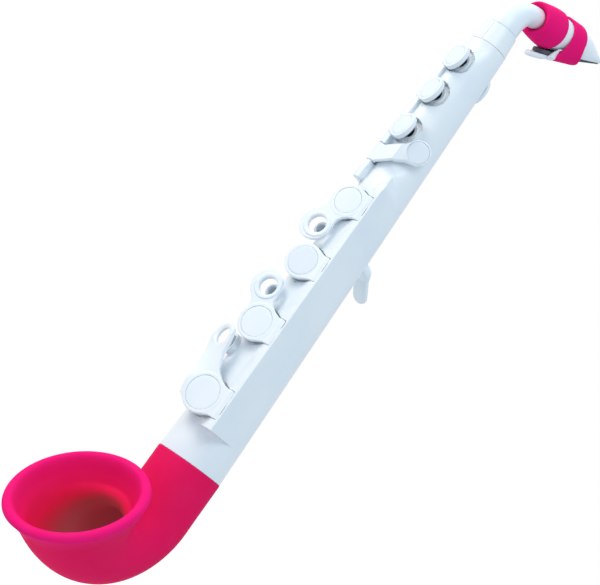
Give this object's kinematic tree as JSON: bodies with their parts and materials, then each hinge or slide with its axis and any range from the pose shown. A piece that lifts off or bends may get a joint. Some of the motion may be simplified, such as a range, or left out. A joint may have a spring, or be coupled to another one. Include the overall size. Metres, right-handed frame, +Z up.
{
  "type": "plastic saxophone",
  "caption": "Moulded plastic saxophone: a tapered tube with sprung keys and finger rings on two rails, a soft turned-up bell, a bent neck and a reed mouthpiece held by a soft band.",
  "frame": {"origin": "middle of the flat underside of the thumb hook, where the right thumb carries the instrument", "axes": "+Z up along the tube to the mouthpiece, -Y to the front with the keys and the bell's mouth, +X to the player's left"},
  "size_m": [0.086, 0.1848, 0.4782],
  "materials": {
    "white_plastic": "satin moulded",
    "gloss_inlay": "polished",
    "pink_silicone": "matt silicone",
    "charcoal_reed": "matt",
    "grey_pad": "matt",
    "steel": "drawn wire and rod"
  },
  "bodies": {
    "body": {"body_tube": "white_plastic", "neck_collar": "white_plastic", "left_hinge_rod": "steel", "right_hinge_rod": "steel", "thumb_key_pin": "steel", "thumb_hook": "white_plastic", "thumb_hook_screw": "steel", "left_key_1_spring": "steel", "left_key_2_spring": "steel", "left_key_3_spring": "steel", "right_key_1_spring": "steel", "right_key_2_spring": "steel", "right_key_3_spring": "steel", "right_key_4_spring": "steel", "side_lever_spring": "steel", "thumb_key_spring": "steel"},
    "neck": {"neck": "white_plastic", "neck_seal": "grey_pad"},
    "sleeve": {"shank_sleeve": "pink_silicone"},
    "mouthpiece": {"mouthpiece": "white_plastic", "reed": "charcoal_reed", "reed_clip": "white_plastic", "reed_band": "pink_silicone"},
    "bell": {"bell": "pink_silicone"},
    "left_key_1": {"left_key_1": "white_plastic", "left_key_1_inlay": "white_plastic", "left_key_1_pad": "grey_pad"},
    "left_key_2": {"left_key_2": "white_plastic", "left_key_2_inlay": "white_plastic", "left_key_2_pad": "grey_pad"},
    "left_key_3": {"left_key_3": "white_plastic", "left_key_3_inlay": "white_plastic", "left_key_3_pad": "grey_pad"},
    "right_key_1": {"right_key_1": "white_plastic", "right_key_1_inlay": "white_plastic", "right_key_1_pad": "grey_pad"},
    "right_key_2": {"right_key_2": "white_plastic", "right_key_2_inlay": "gloss_inlay", "right_key_2_pad": "grey_pad"},
    "right_key_3": {"right_key_3": "white_plastic", "right_key_3_inlay": "white_plastic", "right_key_3_pad": "grey_pad"},
    "right_key_4": {"right_key_4": "white_plastic", "right_key_4_inlay": "white_plastic", "right_key_4_pad": "grey_pad"},
    "side_lever": {"side_lever": "white_plastic", "side_lever_inlay": "white_plastic", "side_lever_pad": "grey_pad"},
    "thumb_key": {"thumb_key": "white_plastic", "thumb_key_pad": "grey_pad"}
  },
  "joints": [
    {"name": "neck_swivel", "type": "hinge", "parent": "body", "child": "neck", "pos_m": [0, -0.02377, 0.16699], "axis": [0, 0, 1], "continuous": true},
    {"name": "mouthpiece_slide", "type": "slide", "parent": "neck", "child": "sleeve", "axis": [0, 0.9659, 0.2588], "range_m": [0, 0.008]},
    {"name": "mouthpiece_turn", "type": "hinge", "parent": "sleeve", "child": "mouthpiece", "pos_m": [0, -0.00539, 0.19904], "axis": [0, 0.9659, 0.2588], "continuous": true},
    {"name": "bell_swivel", "type": "hinge", "parent": "body", "child": "bell", "pos_m": [0, -0.02377, -0.16701], "axis": [0, 0, 1], "continuous": true},
    {"name": "left_key_1_press", "type": "hinge", "parent": "body", "child": "left_key_1", "pos_m": [-0.00757, -0.03794, 0.14059], "axis": [0.0295, 0.0295, 0.9991], "range_deg": [0, 18], "stiffness_Nm_per_rad": 0.02, "springref_deg": -20.05},
    {"name": "left_key_2_press", "type": "hinge", "parent": "body", "child": "left_key_2", "pos_m": [-0.00836, -0.03872, 0.1141], "axis": [0.0295, 0.0295, 0.9991], "range_deg": [0, 18], "stiffness_Nm_per_rad": 0.02, "springref_deg": -20.05},
    {"name": "left_key_3_press", "type": "hinge", "parent": "body", "child": "left_key_3", "pos_m": [-0.00921, -0.03958, 0.08519], "axis": [0.0295, 0.0295, 0.9991], "range_deg": [0, 18], "stiffness_Nm_per_rad": 0.02, "springref_deg": -20.05},
    {"name": "right_key_1_press", "type": "hinge", "parent": "body", "child": "right_key_1", "pos_m": [0.01194, -0.04291, 0.02659], "axis": [0.0295, -0.0295, -0.9991], "range_deg": [0, 11], "stiffness_Nm_per_rad": 0.02, "springref_deg": -20.05},
    {"name": "right_key_2_press", "type": "hinge", "parent": "body", "child": "right_key_2", "pos_m": [0.0133, -0.04427, -0.01943], "axis": [0.0295, -0.0295, -0.9991], "range_deg": [0, 11], "stiffness_Nm_per_rad": 0.02, "springref_deg": -20.05},
    {"name": "right_key_3_press", "type": "hinge", "parent": "body", "child": "right_key_3", "pos_m": [0.01468, -0.04565, -0.06602], "axis": [0.0295, -0.0295, -0.9991], "range_deg": [0, 11], "stiffness_Nm_per_rad": 0.02, "springref_deg": -20.05},
    {"name": "right_key_4_press", "type": "hinge", "parent": "body", "child": "right_key_4", "pos_m": [0.01625, -0.04722, -0.11922], "axis": [0.0295, -0.0295, -0.9991], "range_deg": [0, 11], "stiffness_Nm_per_rad": 0.02, "springref_deg": -20.05},
    {"name": "side_lever_press", "type": "hinge", "parent": "body", "child": "side_lever", "pos_m": [-0.00985, -0.04022, 0.06349], "axis": [0.0295, 0.0295, 0.9991], "range_deg": [0, 5.5], "stiffness_Nm_per_rad": 0.02, "springref_deg": -20.05},
    {"name": "thumb_key_press", "type": "hinge", "parent": "body", "child": "thumb_key", "pos_m": [-0.003, -0.00853, 0.13849], "axis": [0, 0.0295, -0.9996], "range_deg": [0, 8], "stiffness_Nm_per_rad": 0.02, "springref_deg": -20.05}
  ]
}
